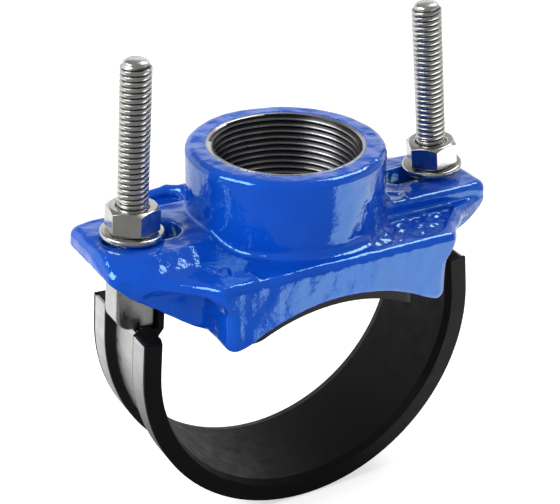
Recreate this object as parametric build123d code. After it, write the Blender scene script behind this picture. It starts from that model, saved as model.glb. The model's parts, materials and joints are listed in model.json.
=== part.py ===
from build123d import *
import math
import os

# Tapping saddle for water pipe: a cast saddle with a threaded branch boss, pulled onto the
# pipe by a rubber-lined steel strap on two studs. Millimetres. The pipe axis is Y, +Z points
# out of the branch, and the origin is the middle of the strap on the pipe axis.

# Stance of the loose saddle: the strap hangs from the lugs a little to one side, and flexes
strap_swing = 1.5  # degrees about the pipe axis
stud_shift = 2.8  # of both studs to the right of the strap's own middle
outlet_offset = -0.5  # of the branch axis from the pipe axis

# Strap
pipe_radius = 66.2  # inner radius of the strap's lining
strap_width = 49.0
lining_thickness = 3.3  # under the band's groove
band_thickness = 1.5
edge_cover = 1.1  # of rubber over each edge of the band
lining_edge_bevel = 3.6  # along the strap's width
lining_edge_relief = 1.1  # radial
groove_floor_width = 21.0  # of the groove pressed along the middle of the band
groove_depth = 3.5
groove_slope = 2.5  # run of each flank of the groove across the strap
flange_run = 12.4  # straight length of the band past the bend, on each side of the block
tongue_width = 17.0  # of the lining between the flanges' ends and the block
block_gap = 2.5  # between the block and the flanges' ends, all round
lining_run = 12.9
liner_tongue_top = 31.0
liner_tongue_thickness = 2.2
stud_inset = 1.85  # of the stud's axis inside the band's outer face
stud_lean = 4.8  # degrees, towards the branch

# End blocks
block_depth = 17.0  # radial
block_width = 12.0
block_length = 20.8
block_start = 10.2  # along the stud from where the strap turns straight
block_corner = 1.6
block_foot_round = 7.0  # of the outer edge underneath

# Fasteners, M12
stud_diameter = 12.0
stud_chamfer = 1.2
stud_length = 86.8
thread_clearance = 0.05
face_clearance = 0.05  # between the faces of lug, washer and nut, which slide on one another
nut_across_flats = 19.0
nut_height = 10.0
left_nut_turn = 7.0  # degrees from the stud's front
right_nut_turn = -21.0
washer_outer_diameter = 25.0
washer_bore_clearance = 0.5
washer_thickness = 2.2

# Casting
lug_top = 51.6
lug_thickness = 8.6
lug_half_width = 21.5
lug_end_wall = 6.5  # past the slot
lug_corner = 5.0
lug_side_wall = 5.5
slot_half_width = 7.5
slot_inner_end = 46.8  # from the branch axis
slot_end_clearance = 0.6123  # past the stud, at the slot's foot
web_start_height = 17.0
web_end_height = 43.6
web_nose_run = 5.5
web_nose_height = 38.6
body_half_length = 46.8  # along the pipe
body_half_width = 48.8
body_top = 46.4
body_corner = 4.0
shoulder_setback = 10.3  # of the sloping shoulder's outer corner from the lug's end
shoulder_thickness = 5.0
arch_radius = 79.7
arch_crown = 30.6
boss_radius = 39.7
boss_height = 77.4  # top face above the pipe axis
boss_rim_round = 3.0
thread_radius = 29.8  # root of the 2 inch pipe thread, whose ridges are left out
thread_length = 32.0
bore_radius = 27.5
mouth_chamfer = 1.6

# Gasket
gasket_thickness = 5.0
gasket_end_margin = 5.0  # inside the body's ends
gasket_side_margin = 11.5
gasket_bore_clearance = 1.5
gasket_corner = 6.0

# Worked out from the sizes above
groove_inner = pipe_radius + lining_thickness
band_inner = groove_inner + groove_depth
band_outer = band_inner + band_thickness
stud_circle = band_outer - stud_inset
stud_radius = stud_diameter / 2
lean = math.radians(stud_lean)


def straight_end(radius):
    """The frame of the right straight end, where the strap of that radius turns straight."""
    return Plane(
        origin=(radius * math.cos(lean), 0, radius * math.sin(lean)),
        x_dir=(math.cos(lean), 0, math.sin(lean)),
        z_dir=(-math.sin(lean), 0, math.cos(lean)),
    )


stud_frame = straight_end(stud_circle)
block_top = block_start + block_length
arch_centre = arch_crown - arch_radius
lug_ceiling = lug_top - lug_thickness


def tilt_of(side):
    """How far a stud leans towards the branch, in radians. The right side is 1, the left -1."""
    return math.radians(stud_lean + side * strap_swing)


def stud_foot(side):
    """Where a stud's line starts, as the distance out from the pipe axis and the height."""
    swing = math.radians(strap_swing)
    out = stud_circle * math.cos(tilt_of(side)) + side * stud_shift * math.cos(swing)
    return out, stud_circle * math.sin(tilt_of(side)) + stud_shift * math.sin(swing)


def stud_reach(side, height):
    """How far from the branch axis a stud's outer side comes at that height."""
    tilt = tilt_of(side)
    out, foot = stud_foot(side)
    return out - (height - foot) * math.tan(tilt) + stud_radius / math.cos(tilt) - side * outlet_offset


slot_outer_end = max(stud_reach(1, lug_ceiling), stud_reach(-1, lug_ceiling)) + slot_end_clearance
lug_end = slot_outer_end + lug_end_wall
shoulder_reach = lug_end - shoulder_setback
strap_stance = Rot(0, -strap_swing, 0)
stud_stance = strap_stance * Pos(stud_shift, 0, 0)
casting_stance = Pos(outlet_offset, 0, 0)


def on_stud(radial, along):
    """A point in the plane of the studs, given from the right stud's axis and foot."""
    point = stud_frame.from_local_coords(Vector(radial, 0, along))
    return (point.X, point.Z)


def left_of(piece):
    """The same piece on the other side of the branch."""
    return mirror(piece, Plane.YZ)


def across(points, half_width):
    """A solid with an outline in the XZ plane, even about the plane of the studs."""
    outline = Plane.XZ * make_face(Polyline(points + [points[0]]))
    return extrude(outline, amount=half_width, both=True)


def swept_along_strap(section, run):
    """A section of radius and width carried round the strap and up both straight ends."""
    start = Rot(0, -stud_lean, 0) * section
    bend = revolve(start, axis=Axis.Y, revolution_arc=180 + 2 * stud_lean)
    right_end = extrude(start, amount=run, dir=stud_frame.z_dir)
    return bend + right_end + left_of(right_end)


def groove_line(radius, half_width):
    """Half of a line across the strap, from its edge down into the groove, at that radius."""
    foot = groove_floor_width / 2
    return [(radius, half_width), (radius, foot + groove_slope), (radius - groove_depth, foot)]


def mirrored(line):
    """A line across the strap carried on to the other edge."""
    return line + [(r, -y) for r, y in reversed(line)]


def band_section():
    """The band's sheet: two flanges and the groove between them."""
    edge = strap_width / 2 - edge_cover
    outer = mirrored(groove_line(band_outer, edge))
    inner = mirrored(groove_line(band_inner, edge))
    return make_face(Polyline(outer + inner[::-1] + [outer[0]]))


def end_room(side):
    """The room that the strap leaves at one end for the block and its stud."""
    room = Box(block_depth, block_width + 2 * block_gap, block_top)
    room = stud_frame.location * Pos(0, 0, block_start + block_top / 2) * room
    return Pos(stud_shift, 0, 0) * (room if side > 0 else left_of(room))


def strap_band():
    """The steel strap. Its flanges end beside the blocks, a little above their feet."""
    band = swept_along_strap(band_section(), flange_run)
    return band - end_room(1) - end_room(-1)


def lining_section():
    """The liner under the band, with a bevelled inner edge and a cover over each band edge."""
    edge = strap_width / 2
    seat = edge - edge_cover
    outer = mirrored([(band_outer, edge), (band_outer, seat)] + groove_line(band_inner, seat))
    bore = mirrored(
        [(pipe_radius + lining_edge_relief, edge), (pipe_radius, edge - lining_edge_bevel)]
    )
    return make_face(Polyline(outer + bore[::-1] + [outer[0]]))


def lining_tongue(side):
    """The tongue of rubber that leaves the liner inside one block and stands behind it."""
    stray = stud_circle + side * stud_shift
    bore = pipe_radius - stray
    seat = groove_inner - stray
    face = -block_depth / 2
    back = face - liner_tongue_thickness
    tongue = across(
        [
            on_stud(bore, 0),
            on_stud(back, lining_run * 0.75),
            on_stud(back, liner_tongue_top),
            on_stud(face, liner_tongue_top),
            on_stud(face, block_start),
            on_stud(seat, block_start),
            on_stud(seat, 0),
        ],
        tongue_width / 2,
    )
    return Pos(stud_shift, 0, 0) * (tongue if side > 0 else left_of(tongue))


def strap_lining():
    """The rubber liner: a channel that the band lies in, with a tongue at each end."""
    liner = swept_along_strap(lining_section(), lining_run)
    liner += lining_tongue(1) + lining_tongue(-1)
    return liner - end_room(1) - end_room(-1)


def strap_block():
    """The right end block, which carries its stud on top and has a rounded foot."""
    front = Plane.XZ * Pos(0, block_start + block_length / 2) * Rectangle(block_depth, block_length)
    front = fillet(front.vertices().group_by(Axis.Z)[0].sort_by(Axis.X)[-1], block_foot_round)
    plan = fillet(Rectangle(block_depth, block_width).vertices(), block_corner)
    block = extrude(front, amount=block_width, both=True) & extrude(plan, amount=block_top)
    return stud_frame.location * block


def stud():
    """The right stud. Its thread is left plain."""
    rod = Pos(0, 0, block_top + stud_length / 2) * Cylinder(stud_radius, stud_length)
    rod = chamfer(rod.edges().filter_by(GeomType.CIRCLE).sort_by(Axis.Z)[-1], stud_chamfer)
    return stud_frame.location * rod


def seat_along(side):
    """How far up its stud a washer's underside lies, with its inner edge on the lug."""
    tilt = tilt_of(side)
    edge_drop = washer_outer_diameter / 2 * math.sin(tilt)
    return (lug_top + edge_drop - stud_foot(side)[1]) / math.cos(tilt) + face_clearance


def washer(side):
    """A plain washer, drawn on the right stud."""
    centre = seat_along(side) + washer_thickness / 2
    disc = Pos(0, 0, centre) * Cylinder(washer_outer_diameter / 2, washer_thickness)
    bore = Pos(0, 0, centre) * Cylinder(stud_radius + washer_bore_clearance, 2 * washer_thickness)
    return stud_frame.location * (disc - bore)


def nut(side, turn):
    """A hexagon nut on its washer, its corners bevelled at 30 degrees on the upper face."""
    corner = nut_across_flats / math.sqrt(3)
    flat = nut_across_flats / 2
    bevel = (corner - flat) * math.tan(math.radians(30))
    profile = [(0, 0), (corner, 0), (corner, nut_height - bevel)]
    profile += [(flat, nut_height), (0, nut_height)]
    turned = revolve(Plane.XZ * make_face(Polyline(profile + [profile[0]])), axis=Axis.Z)
    blank = extrude(RegularPolygon(corner, 6), amount=nut_height)
    bore = Pos(0, 0, nut_height / 2) * Cylinder(stud_radius + thread_clearance, 2 * nut_height)
    start = seat_along(side) + washer_thickness + face_clearance
    return stud_frame.location * Pos(0, 0, start) * Rot(0, 0, turn) * (blank & turned - bore)


def casting_body():
    """The block over the pipe, with the sloping shoulders that brace both lugs."""
    core = fillet(Rectangle(2 * body_half_width, 2 * body_half_length).vertices(), body_corner)
    body = Pos(0, 0, arch_centre) * extrude(core, amount=body_top - arch_centre)
    shoulder = [
        (body_half_width, body_half_length),
        (shoulder_reach, lug_half_width),
        (shoulder_reach, -lug_half_width),
        (body_half_width, -body_half_length),
    ]
    shoulder += [(-x, -y) for x, y in shoulder]
    plate = make_face(Polyline(shoulder + [shoulder[0]]))
    outer = plate.vertices().group_by(Axis.Y)
    plate = fillet(outer[0] + outer[-1], body_corner)
    return body + Pos(0, 0, body_top - shoulder_thickness) * extrude(plate, amount=shoulder_thickness)


def lug():
    """The right lug: a slotted plate on two tapering webs."""
    outline = [
        (0, lug_top),
        (lug_end, lug_top),
        (lug_end, web_end_height),
        (lug_end - web_nose_run, web_nose_height),
        (body_half_width, web_start_height),
        (0, web_start_height),
    ]
    plan = Pos(lug_end / 2, 0) * Rectangle(lug_end, 2 * lug_half_width)
    plan = fillet(plan.vertices().group_by(Axis.X)[-1], lug_corner)
    return across(outline, lug_half_width) & extrude(plan, amount=lug_top)


def lug_hollow():
    """The room under the right lug for the stud and its block."""
    return Pos(body_half_width + lug_end / 2, 0, 0) * Box(
        lug_end, 2 * (lug_half_width - lug_side_wall), 2 * lug_ceiling
    )


def lug_slot():
    """The room for the right stud, long enough for its lean as the saddle rises."""
    length = slot_outer_end - slot_inner_end
    middle = (slot_outer_end + slot_inner_end) / 2
    slot = Pos(middle, 0) * SlotOverall(length, 2 * slot_half_width)
    return Pos(0, 0, lug_top - 2 * lug_thickness) * extrude(slot, amount=3 * lug_thickness)


def saddle_casting():
    """The saddle in one piece, with its boss bored and its arch cut."""
    right = lug()
    room = lug_hollow() + lug_slot()
    casting = casting_body() + right + left_of(right)
    casting += extrude(Circle(boss_radius), amount=boss_height)
    casting = casting - room - left_of(room)
    casting -= Pos(0, 0, arch_centre) * Rot(90, 0, 0) * Cylinder(arch_radius, 4 * body_half_length)
    casting -= extrude(Circle(bore_radius), amount=boss_height)
    casting -= Pos(0, 0, boss_height - thread_length) * extrude(Circle(thread_radius), amount=thread_length)
    rim = casting.edges().filter_by(GeomType.CIRCLE).group_by(Axis.Z)[-1].sort_by(SortBy.RADIUS)
    casting = fillet(rim[-1], boss_rim_round)
    mouth = casting.edges().filter_by(GeomType.CIRCLE).group_by(Axis.Z)[-1].sort_by(SortBy.RADIUS)
    return chamfer(mouth[0], mouth_chamfer)


def saddle_gasket():
    """The rubber mat under the arch, open round the bore."""
    half_length = body_half_length - gasket_end_margin
    half_width = body_half_width - gasket_side_margin
    ring = Circle(arch_radius) - Circle(arch_radius - gasket_thickness)
    tube = Pos(0, 0, arch_centre) * Rot(90, 0, 0) * extrude(ring, amount=half_length, both=True)
    plan = fillet(Rectangle(2 * half_width, 2 * half_length).vertices(), gasket_corner)
    column = extrude(plan - Circle(bore_radius + gasket_bore_clearance), amount=boss_height)
    return tube & column


os.makedirs("parts", exist_ok=True)
pieces = {
    "saddle_casting": casting_stance * saddle_casting(),
    "saddle_gasket": casting_stance * saddle_gasket(),
    "strap_band": strap_stance * strap_band(),
    "strap_lining": strap_stance * strap_lining(),
    "right_strap_block": stud_stance * strap_block(),
    "left_strap_block": stud_stance * left_of(strap_block()),
    "right_stud": stud_stance * stud(),
    "left_stud": stud_stance * left_of(stud()),
    "right_washer": stud_stance * washer(1),
    "left_washer": stud_stance * left_of(washer(-1)),
    "right_nut": stud_stance * nut(1, right_nut_turn),
    "left_nut": stud_stance * left_of(nut(-1, left_nut_turn)),
}
for name, piece in pieces.items():
    export_step(piece, "parts/" + name + ".step")
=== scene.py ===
"""Tapping saddle: a blue cast saddle standing on the studs of a rubber-lined steel strap."""

from __future__ import annotations

import json
import logging
import math
import sys
from dataclasses import dataclass
from enum import Enum
from typing import Callable, Iterable, Optional, Sequence, Union

import bmesh
import bpy
import numpy as np
from mathutils import Matrix, Vector


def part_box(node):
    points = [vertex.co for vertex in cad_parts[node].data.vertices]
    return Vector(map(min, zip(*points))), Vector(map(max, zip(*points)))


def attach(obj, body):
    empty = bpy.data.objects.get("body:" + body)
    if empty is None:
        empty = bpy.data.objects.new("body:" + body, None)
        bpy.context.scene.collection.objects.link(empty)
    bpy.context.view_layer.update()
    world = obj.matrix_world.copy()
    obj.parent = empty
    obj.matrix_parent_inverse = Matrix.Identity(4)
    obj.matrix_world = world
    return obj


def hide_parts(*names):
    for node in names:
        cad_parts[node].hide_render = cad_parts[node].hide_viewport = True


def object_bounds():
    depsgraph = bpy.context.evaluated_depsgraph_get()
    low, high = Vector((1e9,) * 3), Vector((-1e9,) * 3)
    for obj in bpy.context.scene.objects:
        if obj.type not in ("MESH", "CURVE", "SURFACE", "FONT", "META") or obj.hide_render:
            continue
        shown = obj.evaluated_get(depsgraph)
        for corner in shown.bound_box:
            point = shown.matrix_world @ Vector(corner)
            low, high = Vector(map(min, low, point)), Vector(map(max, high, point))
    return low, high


MM = 0.001
TURN = 2.0 * math.pi
STUD_LENGTH = 86.8
WHITE = (1.0, 1.0, 1.0, 1.0)
LOG = logging.getLogger("tapping_saddle")

Array = np.ndarray
Pair = tuple[float, float]
Triple = tuple[float, float, float]
Color = tuple[float, float, float, float]
Faces = list[list[int]]
Field = Callable[[Array], Array]
Material = bpy.types.Material
Node = bpy.types.Node
Object = bpy.types.Object
Socket = bpy.types.NodeSocket
Tree = bpy.types.NodeTree
Level = Union[float, Socket]

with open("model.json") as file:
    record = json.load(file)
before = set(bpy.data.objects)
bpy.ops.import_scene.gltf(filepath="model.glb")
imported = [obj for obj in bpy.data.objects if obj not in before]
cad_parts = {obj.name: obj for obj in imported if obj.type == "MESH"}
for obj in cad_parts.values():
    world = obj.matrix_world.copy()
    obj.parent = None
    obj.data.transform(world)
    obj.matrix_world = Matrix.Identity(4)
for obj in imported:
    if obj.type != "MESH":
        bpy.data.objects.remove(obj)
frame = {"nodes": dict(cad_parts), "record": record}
CAD_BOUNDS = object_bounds()


class Body(Enum):
    """The bodies that the strap's and the casting's pieces ride on."""

    STRAP = "strap"
    SADDLE = "saddle"


class Side(Enum):
    """The two ends of the strap, with the sign of X that each is on."""

    LEFT = -1
    RIGHT = 1

    @property
    def word(self) -> str:
        """The side's name as the CAD nodes begin with it."""
        return self.name.lower()


# ---------------------------------------------------------------- meshes


def new_piece(
    name: str,
    verts: Array,
    faces: Iterable[Sequence[int]],
    finish: Material,
    weld: float = 0.0,
    groove: Optional[Array] = None,
) -> Object:
    """Makes a smooth-shaded object from points in millimetres.

    Args:
        name: the piece's name.
        verts: an array of points, in millimetres, in the row frame.
        faces: the faces, as sequences of point numbers.
        finish: the piece's material.
        weld: the distance in millimetres under which points are merged, or 0.
        groove: how deep in a groove each point lies, from 0 to 1, which sets how much painted shade
            it gets, or None.

    Returns:
        The new object, linked to the scene.
    """
    mesh = bpy.data.meshes.new(name)
    points = (np.asarray(verts, float) * MM).tolist()
    mesh.from_pydata(points, [], [list(map(int, f)) for f in faces])
    if groove is not None:
        depth = mesh.attributes.new("groove", "FLOAT", "POINT")
        depth.data.foreach_set("value", np.asarray(groove, np.float32))
    if weld > 0.0:
        work = bmesh.new()
        work.from_mesh(mesh)
        bmesh.ops.remove_doubles(work, verts=work.verts, dist=weld * MM)
        bmesh.ops.dissolve_degenerate(work, edges=work.edges, dist=weld * MM * 0.5)
        bmesh.ops.recalc_face_normals(work, faces=work.faces)
        work.to_mesh(mesh)
        work.free()
    mesh.polygons.foreach_set("use_smooth", [True] * len(mesh.polygons))
    mesh.materials.append(finish)
    piece = bpy.data.objects.new(name, mesh)
    bpy.context.scene.collection.objects.link(piece)
    return piece


def add_bevel(piece: Object, width: float, angle: float) -> None:
    """Rounds a piece's edges sharper than an angle in degrees, by a width in millimetres."""
    bevel = piece.modifiers.new("edge_round", "BEVEL")
    bevel.width = width * MM
    bevel.segments = 2
    bevel.limit_method = "ANGLE"
    bevel.angle_limit = math.radians(angle)
    bevel.harden_normals = True
    bevel.use_clamp_overlap = True


def report(*pieces: Object) -> None:
    """Logs each piece's size."""
    for piece in pieces:
        LOG.info("%s: %d faces", piece.name, len(piece.data.polygons))


def around(theta: Array, radius: Array | float, height: Array) -> Array:
    """Points about Z from their angles, radii and heights."""
    return np.stack([radius * np.cos(theta), radius * np.sin(theta), height], axis=-1)


def circle(radius: float, height: float, columns: int) -> Array:
    """A ring of points about Z."""
    return around(np.arange(columns) * TURN / columns, radius, np.full(columns, height))


def sleeve(rings: int, count: int, start: int = 0) -> Faces:
    """The faces between closed rings of points that follow one another.

    Args:
        rings: the number of rings.
        count: the number of points in each.
        start: the number of the first ring's first point.

    Returns:
        The faces.
    """
    faces = []
    for here in range(start, start + (rings - 1) * count, count):
        for i in range(count):
            n = (i + 1) % count
            faces.append([here + i, here + n, here + count + n, here + count + i])
    return faces


def turned(radius: Array, height: Array) -> tuple[Array, Faces]:
    """A closed ring turned about Z.

    Args:
        radius: the section's radii, with one row of them for each column round the axis.
        height: the section's heights, laid out alike.

    Returns:
        The points and the faces.
    """
    columns, count = radius.shape
    verts = around((np.arange(columns) * TURN / columns)[:, None], radius, height)
    quads = np.array(sleeve(columns + 1, count)) % (columns * count)
    return verts.reshape(-1, 3), quads[:, [0, 3, 2, 1]].tolist()


def rounded_loop(corners: Sequence[Triple], steps: int) -> list[Pair]:
    """A closed outline with its corners rounded.

    Args:
        corners: each corner as (x, y, radius).
        steps: the number of segments in each rounding.

    Returns:
        The outline's points.
    """
    points: list[Pair] = []
    for i, (x, y, radius) in enumerate(corners):
        if radius <= 0.0:
            points.append((x, y))
            continue
        here = Vector((x, y))
        back = (Vector(corners[i - 1][:2]) - here).normalized()
        on = (Vector(corners[(i + 1) % len(corners)][:2]) - here).normalized()
        half = back.angle(on) / 2.0
        run = radius / math.tan(half)
        centre = here + (back + on).normalized() * (radius / math.sin(half))
        start = here + back * run - centre
        end = here + on * run - centre
        sweep = math.atan2(start.x * end.y - start.y * end.x, start.dot(end))
        for k in range(steps + 1):
            point = centre + Matrix.Rotation(sweep * k / steps, 2) @ start
            points.append((point.x, point.y))
    return points


def placed(verts: Array, pose: Matrix) -> Array:
    """The points carried by a pose whose translation is in millimetres."""
    turn = np.array(pose.to_3x3())
    return np.asarray(verts, float) @ turn.T + np.array(pose.translation)


def helical_skin(
    profile: Sequence[Pair],
    pitch: float,
    low: float,
    high: float,
    columns: int,
    limit: Callable[[Array, Array], Array],
) -> tuple[Array, Array, Faces]:
    """A threaded skin about Z whose rows follow the helix.

    Args:
        profile: one turn of the thread as (share of the pitch, radius), rising.
        pitch: the thread's pitch.
        low: the height where the skin starts.
        high: the height where it ends.
        columns: the number of columns round the axis.
        limit: gives the radius to use from the heights and the thread's own radii.

    Returns:
        The points, their radii, and the faces, with the skin's ends gathered at low and high.
    """
    per_turn = len(profile)
    turns = int(math.ceil((high - low) / pitch)) + 2
    theta_share = np.arange(columns) / columns
    rows, radius_rows = [], []
    for turn in range(-1, turns):
        for share, radius in profile:
            rows.append(low + pitch * (turn + share + theta_share))
            radius_rows.append(np.full(columns, radius))
    heights = np.clip(np.array(rows), low, high)
    radius = limit(heights, np.array(radius_rows))
    verts = around(theta_share * TURN, radius, heights)
    count = len(rows)
    faces = []
    for k in range(count - 1):
        for j in range(columns):
            if j + 1 < columns:
                quad = [(k, j), (k, j + 1), (k + 1, j + 1), (k + 1, j)]
            elif k + 1 + per_turn < count:
                quad = [(k, j), (k + per_turn, 0), (k + 1 + per_turn, 0), (k + 1, j)]
            else:
                continue
            if len({round(float(heights[q]), 5) for q in quad}) > 1:
                faces.append([q[0] * columns + q[1] for q in quad])
    return verts.reshape(-1, 3), radius.reshape(-1), faces


# ---------------------------------------------------------------- sculpted solids


def round_union(a: Array, b: Array, radius: Array | float) -> Array:
    """The distance to two joined solids with a fillet of that radius between them."""
    hollow = np.hypot(np.maximum(radius - a, 0.0), np.maximum(radius - b, 0.0))
    return np.maximum(radius, np.minimum(a, b)) - hollow


def round_meet(a: Array, b: Array, radius: Array | float) -> Array:
    """The distance to what two solids share, with its new edge rounded."""
    swell = np.hypot(np.maximum(radius + a, 0.0), np.maximum(radius + b, 0.0))
    return np.minimum(-radius, np.maximum(a, b)) + swell


def smooth_step(value: Array, low: float, high: float) -> Array:
    """A ramp from 0 at low to 1 at high, smooth at both ends."""
    t = np.clip((value - low) / (high - low), 0.0, 1.0)
    return t * t * (3.0 - 2.0 * t)


def outside_span(value: Array, low: float, high: float) -> Array:
    """How far a value is outside a span, or 0 within it."""
    return np.maximum(np.maximum(low - value, value - high), 0.0)


def past_line(u: Array, v: Array, start: Pair, end: Pair) -> Array:
    """The distance past a slanted line, positive on its right.

    Args:
        u: the points' first coordinates.
        v: their second coordinates.
        start: a point of the line.
        end: another, further along it.

    Returns:
        The distances.
    """
    du, dv = end[0] - start[0], end[1] - start[1]
    return ((u - end[0]) * dv - (v - end[1]) * du) / math.hypot(dv, du)


def box_plan(x: Array, y: Array, half_x: float, half_y: float, corner: float) -> Array:
    """The distance in plan to a rectangle with rounded corners."""
    qx = np.abs(x) - (half_x - corner)
    qy = np.abs(y) - (half_y - corner)
    outside = np.hypot(np.maximum(qx, 0.0), np.maximum(qy, 0.0))
    return outside + np.minimum(np.maximum(qx, qy), 0.0) - corner


@dataclass(frozen=True)
class Ripple:
    """A smooth uneven skin made of crossed waves."""

    amplitude: float
    shortest: float
    longest: float
    waves: int
    seed: int

    def at(self, points: Array) -> Array:
        """The height of the skin at each point."""
        rng = np.random.default_rng(self.seed)
        total = np.zeros(points.shape[:-1])
        for _ in range(self.waves):
            way = rng.normal(size=3)
            way /= np.linalg.norm(way)
            length = rng.uniform(self.shortest, self.longest)
            phase = rng.uniform(0.0, TURN)
            total += np.sin(points @ way * (TURN / length) + phase)
        return self.amplitude * total / math.sqrt(self.waves)


class Sculptor:
    """Turns a distance field into a mesh of even quads that lie on its surface."""

    CORNERS = np.array([[i, j, k] for i in (0, 1) for j in (0, 1) for k in (0, 1)])
    MARGIN = 2.0
    SLOPE_REACH = 0.2
    SETTLE_ROUNDS = 3
    SETTLE_MOVE = 0.6
    LEAST_SLOPE = 0.05

    def __init__(
        self, field: Field, low: Sequence[float], high: Sequence[float], step: float
    ) -> None:
        """Keeps what to carve.

        Args:
            field: gives the distance at points of shape (..., 3), negative inside.
            low: the lowest corner of the room to search, in millimetres.
            high: the highest corner.
            step: the size of the quads, in millimetres.
        """
        self.field = field
        self.low = np.array(low, float) - self.MARGIN * step
        self.high = np.array(high, float) + self.MARGIN * step
        self.step = step

    def _samples(self) -> Array:
        """The field on a grid, worked out one slab at a time."""
        spans = zip(self.low, self.high)
        axes = [np.arange(a, b + self.step, self.step) for a, b in spans]
        slabs = []
        for x in axes[0]:
            grid = np.stack(np.meshgrid([x], axes[1], axes[2], indexing="ij"), axis=-1)
            slabs.append(self.field(grid)[0].astype(np.float32))
        return np.stack(slabs)

    def _cell_points(self, values: Array, inside: Array) -> tuple[Array, Array]:
        """The numbering of the cells on the surface, and one point in each."""
        shape = tuple(n - 1 for n in values.shape)
        count = np.zeros(shape, np.int8)
        for i, j, k in self.CORNERS:
            count += inside[i : shape[0] + i, j : shape[1] + j, k : shape[2] + k]
        active = (count > 0) & (count < len(self.CORNERS))
        number = np.full(shape, -1, np.int64)
        number[active] = np.arange(int(active.sum()))
        cells = np.argwhere(active)
        at = [values[tuple((cells + c).T)] for c in self.CORNERS]
        total = np.zeros((len(cells), 3))
        hits = np.zeros(len(cells))
        for a, start in enumerate(self.CORNERS):
            for b, end in enumerate(self.CORNERS):
                if b <= a or np.abs(start - end).sum() != 1:
                    continue
                cut = (at[a] < 0) != (at[b] < 0)
                share = np.where(cut, at[a] / np.where(cut, at[a] - at[b], 1.0), 0.0)
                total += (start + share[:, None] * (end - start)) * cut[:, None]
                hits += cut
        return number, (cells + total / hits[:, None]) * self.step + self.low

    def _quads(self, number: Array, inside: Array) -> Array:
        """The quads between the cells round each grid edge that the surface cuts."""
        quads = []
        for a in range(3):
            b, c = (a + 1) % 3, (a + 2) % 3
            low, high = [slice(None)] * 3, [slice(None)] * 3
            low[a], high[a] = slice(0, -1), slice(1, None)
            change = np.argwhere(inside[tuple(low)] != inside[tuple(high)])
            change = change[(change[:, b] > 0) & (change[:, c] > 0)]
            step_b, step_c = np.eye(3, dtype=int)[b], np.eye(3, dtype=int)[c]
            ring = [change, change - step_b, change - step_b - step_c, change - step_c]
            quad = np.stack([number[tuple(r.T)] for r in ring], axis=1)
            outward = inside[tuple(change.T)]
            quads.append(np.where(outward[:, None], quad, quad[:, ::-1]))
        return np.concatenate(quads)

    def _slope(self, points: Array) -> Array:
        """The gradient of the field at each point."""
        reach = self.SLOPE_REACH * self.step
        parts = []
        for shift in reach * np.eye(3):
            rise = self.field(points + shift) - self.field(points - shift)
            parts.append(rise / (2.0 * reach))
        return np.stack(parts, axis=-1)

    def carve(self, name: str, finish: Material, place: Field) -> Object:
        """Makes the piece.

        Args:
            name: the piece's name.
            finish: its material.
            place: carries points from the field's own axes to the row frame.

        Returns:
            The new object, shaded by the field's own slope.
        """
        values = self._samples()
        inside = values < 0
        number, points = self._cell_points(values, inside)
        quads = self._quads(number, inside)
        most = self.SETTLE_MOVE * self.step
        for _ in range(self.SETTLE_ROUNDS):
            slope = self._slope(points)
            size = np.maximum((slope**2).sum(-1), self.LEAST_SLOPE)
            move = -(self.field(points) / size)[:, None] * slope
            points = points + np.clip(move, -most, most)
        normals = self._slope(points)
        normals /= np.maximum(np.linalg.norm(normals, axis=1, keepdims=True), 1e-9)
        tips = place(points + normals)
        points = place(points)
        piece = new_piece(name, points, quads, finish)
        piece.data.normals_split_custom_set_from_vertices((tips - points).tolist())
        return piece


# ---------------------------------------------------------------- shader nodes


def feed(node: Node, inputs: dict[Union[str, int], object]) -> Node:
    """Links sockets to a node's inputs, or sets their values, and gives the node back."""
    for key, value in inputs.items():
        if isinstance(value, Socket):
            node.id_data.links.new(value, node.inputs[key])
        else:
            node.inputs[key].default_value = value
    return node


def add_node(
    tree: Tree, kind: str, inputs: dict[Union[str, int], object], **settings: object
) -> Node:
    """Adds a node.

    Args:
        tree: the node tree.
        kind: the node's type, without its leading ShaderNode.
        inputs: a socket to link or a value to set, by the input's name or number.
        settings: the node's own properties.

    Returns:
        The node.
    """
    node = tree.nodes.new("ShaderNode" + kind)
    for key, value in settings.items():
        setattr(node, key, value)
    return feed(node, inputs)


def place_in(tree: Tree) -> Socket:
    """The place of the shaded point in its object."""
    return add_node(tree, "TexCoord", {}).outputs["Object"]


def axes_of(vector: Socket) -> bpy.types.NodeOutputs:
    """A vector's X, Y and Z sockets."""
    return add_node(vector.id_data, "SeparateXYZ", {0: vector}).outputs


def join(operation: str, first: Socket, second: Level) -> Socket:
    """The result of a math operation on a socket and another socket or a number."""
    inputs = {0: first, 1: second}
    return add_node(first.id_data, "Math", inputs, operation=operation).outputs[0]


def times(first: Socket, second: Level) -> Socket:
    """The product of a socket and another socket or a number."""
    return join("MULTIPLY", first, second)


def mix(factor: Socket, first: object, second: object, kind: str = "FLOAT") -> Socket:
    """A blend from first to second, of levels or, where the kind is RGBA, of colours."""
    inputs = {"Factor": factor, "A": first, "B": second}
    return add_node(factor.id_data, "Mix", inputs, data_type=kind).outputs["Result"]


def noise(vector: Socket, scale: Level, detail: float, roughness: float = 0.5) -> Socket:
    """Fractal noise at a place."""
    inputs = {"Vector": vector, "Scale": scale, "Detail": detail, "Roughness": roughness}
    return add_node(vector.id_data, "TexNoise", inputs).outputs["Fac"]


def ramp(value: Socket, low: float, high: float) -> Socket:
    """A smooth ramp from 0 at low to 1 at high, where high may be below low."""
    flip = high < low
    inputs = {
        "Value": value,
        "From Min": min(low, high),
        "From Max": max(low, high),
        "To Min": float(flip),
        "To Max": float(not flip),
    }
    node = add_node(value.id_data, "MapRange", inputs, interpolation_type="SMOOTHSTEP")
    return node.outputs["Result"]


# ---------------------------------------------------------------- finishes


class Effect(Enum):
    """The shared shader effects, each built once as a node group."""

    MOTTLE = "mottle"
    ORANGE_PEEL = "orange_peel"
    BRUSHING = "brushing"
    DUST = "dust"
    GROOVES = "grooves"


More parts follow.
